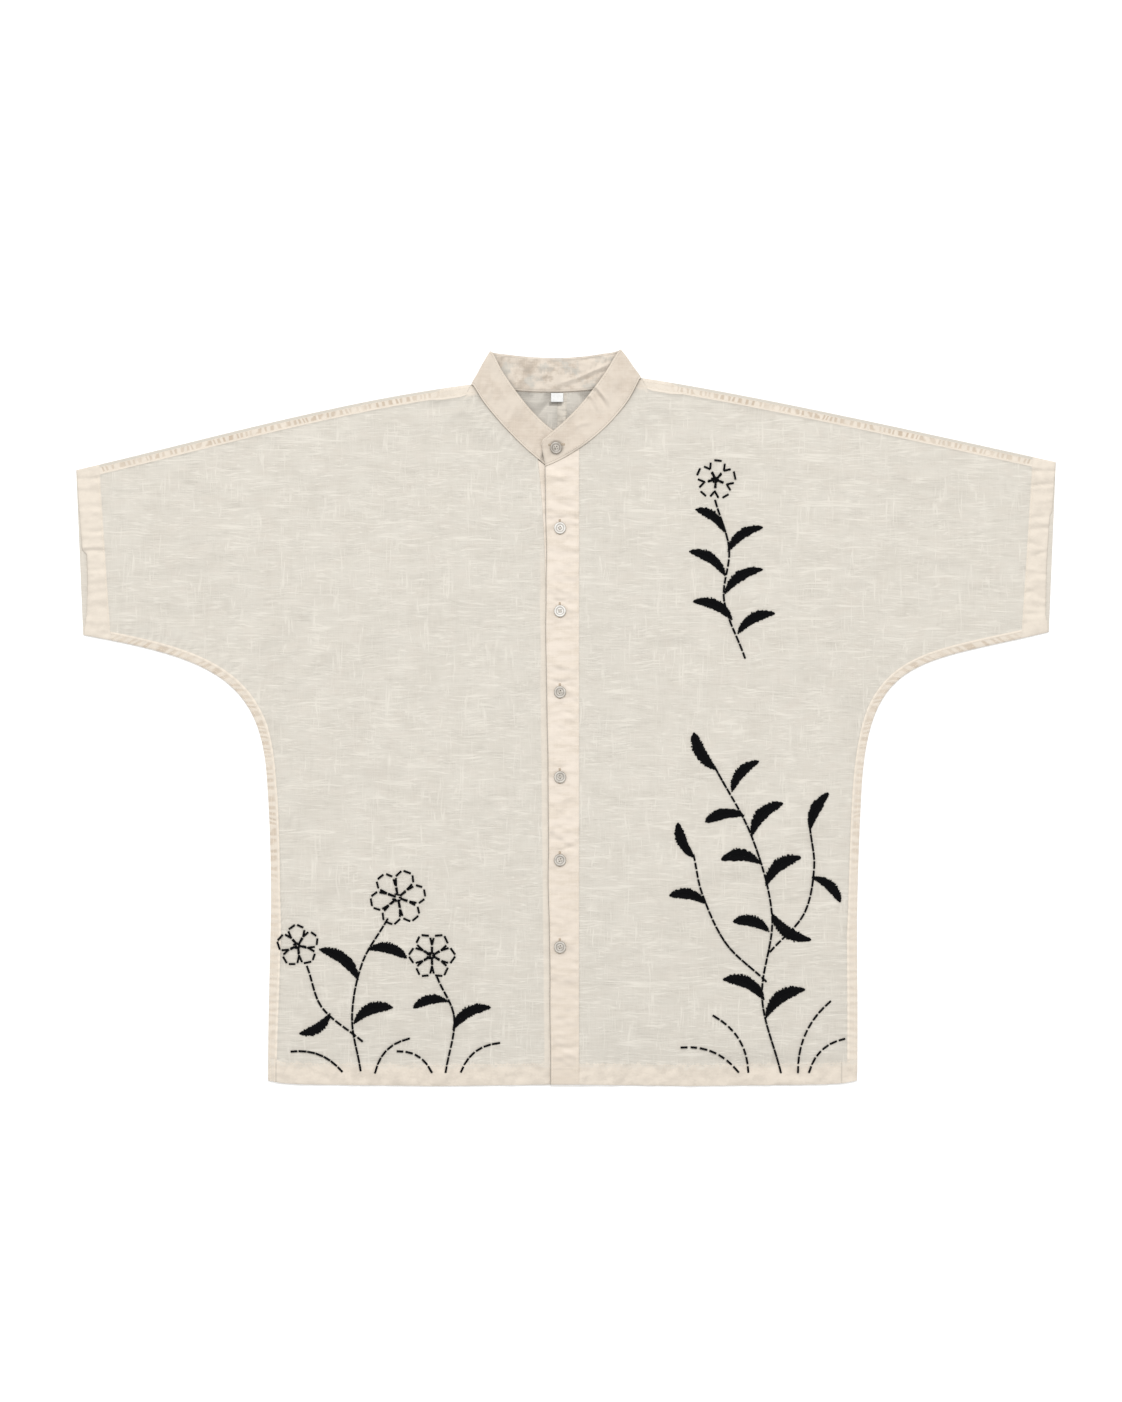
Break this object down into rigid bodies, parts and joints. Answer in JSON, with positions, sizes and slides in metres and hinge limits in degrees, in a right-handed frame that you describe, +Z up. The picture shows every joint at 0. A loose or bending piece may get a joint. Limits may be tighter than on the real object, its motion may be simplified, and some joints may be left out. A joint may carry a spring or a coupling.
{
  "type": "short-sleeved cotton shirt",
  "caption": "Button-through cotton shirt with a band collar and short kimono sleeves, laid flat and face up.",
  "frame": {"origin": "middle of the shirt's outline, on the surface that it lies on", "axes": "+Z up out of the surface, +Y towards the collar, +X towards the wearer's left"},
  "size_m": [0.98, 0.737, 0.0093],
  "materials": {
    "cotton_front": "fine crinkled cotton voile",
    "cotton_back": "fine crinkled cotton voile, inside face",
    "cotton_band": "doubled cotton voile",
    "cotton_collar": "doubled cotton voile",
    "woven_tab": "bare white woven tape",
    "button_pearl": "pearly"
  },
  "bodies": {
    "root": {"back_right": "cotton_back", "back_left": "cotton_back", "front_right": "cotton_front", "front_left": "cotton_front", "placket_under": "cotton_band", "placket_over": "cotton_band", "collar_outer": "cotton_collar", "collar_inner": "cotton_collar", "size_tab": "woven_tab", "button_1": "button_pearl", "button_2": "button_pearl", "button_3": "button_pearl", "button_4": "button_pearl", "button_5": "button_pearl", "button_6": "button_pearl", "button_7": "button_pearl"}
  },
  "joints": []
}
